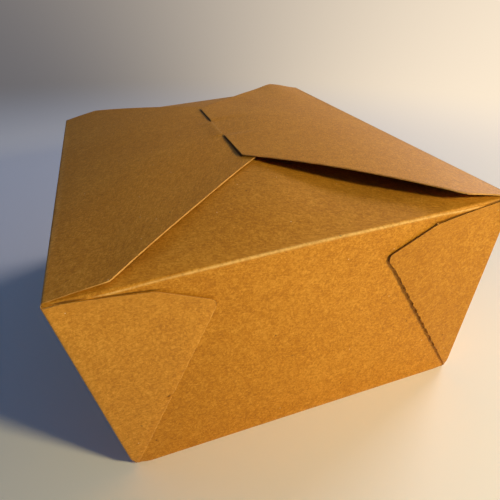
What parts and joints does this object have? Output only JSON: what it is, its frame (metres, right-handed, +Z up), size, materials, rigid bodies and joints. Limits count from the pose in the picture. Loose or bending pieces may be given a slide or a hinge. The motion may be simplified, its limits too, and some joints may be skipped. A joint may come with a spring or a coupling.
{
  "type": "takeaway box",
  "caption": "Folded kraft board food carton with flared walls, webbed leakproof corners and a fold-over lid locked by a tongue in a slot.",
  "frame": {"origin": "centre of the base, on the face that rests on a table", "axes": "+X across the short side towards the crease of the locking flap, +Y along the long side towards the back end, +Z up"},
  "size_m": [0.1659, 0.2278, 0.1006],
  "materials": {
    "kraft_board": "plain unprinted kraft board, matt, with short fibre flecks and paler cut edges"
  },
  "bodies": {
    "carton": {"carton": "kraft_board"},
    "locking_flap": {"locking_flap": "kraft_board"}
  },
  "joints": [
    {"name": "locking_flap_crease", "type": "hinge", "parent": "carton", "child": "locking_flap", "pos_m": [0.08271, 0, 0.08875], "axis": [0, 1, 0], "range_deg": [0, 160]}
  ]
}
